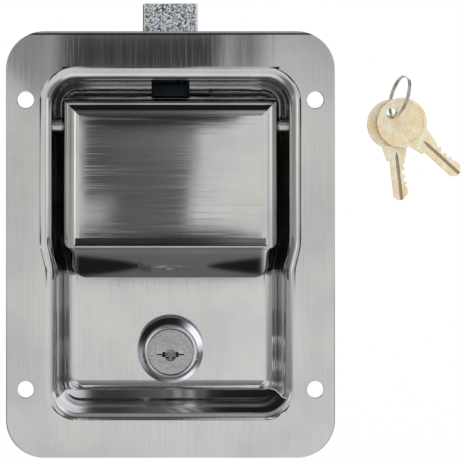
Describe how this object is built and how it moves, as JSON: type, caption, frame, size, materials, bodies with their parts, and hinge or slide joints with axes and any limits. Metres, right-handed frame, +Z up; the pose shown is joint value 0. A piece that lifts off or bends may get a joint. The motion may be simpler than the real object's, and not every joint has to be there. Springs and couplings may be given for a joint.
{
  "type": "paddle latch",
  "caption": "Flush-mounted paddle latch: recessed sheet steel pan, sprung hinged paddle, slam bolt, key cam lock, and keys on a ring.",
  "frame": {"origin": "centre of the flange's back face, which seats on the panel, and of the square of its four screw holes", "axes": "-Y out of the panel towards the user, along the normal of the flange; +Y into the panel; +Z up, towards the bolt; +X to the user's right"},
  "size_m": [0.1554, 0.0388, 0.1522],
  "materials": {
    "stainless": "brushed",
    "zinc_steel": "zinc plated",
    "nut_zinc": "zinc plated",
    "pin_steel": "bright",
    "spring_steel": "drawn wire",
    "sintered_steel": "sintered, zinc plated",
    "lock_chrome": "polished",
    "plug_satin": "satin",
    "wafer_brass": "stamped",
    "key_metal": "satin",
    "ring_steel": "bright"
  },
  "bodies": {
    "root": {"pan": "stainless", "hinge_pin": "pin_steel", "push_nut": "spring_steel", "paddle_spring": "spring_steel", "bolt_bracket": "zinc_steel", "bracket_rivets": "pin_steel", "bolt_spring": "spring_steel", "lock_housing": "lock_chrome", "lock_washer": "zinc_steel", "lock_nut": "nut_zinc", "key_ring": "ring_steel"},
    "paddle": {"paddle": "stainless", "paddle_arm": "zinc_steel"},
    "bolt": {"bolt": "sintered_steel", "bolt_slide": "zinc_steel", "slide_rivets": "pin_steel"},
    "lock_core": {"lock_plug": "plug_satin", "plug_wafers": "wafer_brass", "stop_washer": "zinc_steel", "lock_cam": "zinc_steel", "spring_washer": "spring_steel", "cam_screw": "nut_zinc"},
    "key_front": {"key_front": "key_metal"},
    "key_back": {"key_back": "key_metal"}
  },
  "joints": [
    {"name": "paddle_hinge", "type": "hinge", "parent": "root", "child": "paddle", "pos_m": [0, 0.008, 0.0394], "axis": [-1, 0, 0], "range_deg": [0, 40], "stiffness_Nm_per_rad": 0.4, "springref_deg": -45.84},
    {"name": "bolt_slide", "type": "slide", "parent": "root", "child": "bolt", "axis": [0, 0, -1], "range_m": [0, 0.01374], "deforming": ["bolt_spring"]},
    {"name": "lock_turn", "type": "hinge", "parent": "root", "child": "lock_core", "pos_m": [0, 0.03, -0.0366], "axis": [0, 1, 0], "range_deg": [0, 90]},
    {"name": "key_front_swing", "type": "hinge", "parent": "root", "child": "key_front", "pos_m": [0.07744, 0.033, 0.04496], "axis": [0, 1, 0], "range_deg": [-60, 60]},
    {"name": "key_back_swing", "type": "hinge", "parent": "root", "child": "key_back", "pos_m": [0.0773, 0.0347, 0.04608], "axis": [0, 1, 0], "range_deg": [-60, 60]}
  ],
  "couplings": [
    {"joint": "bolt_slide", "follows": "paddle_hinge", "m_per_rad": 0.019623}
  ]
}
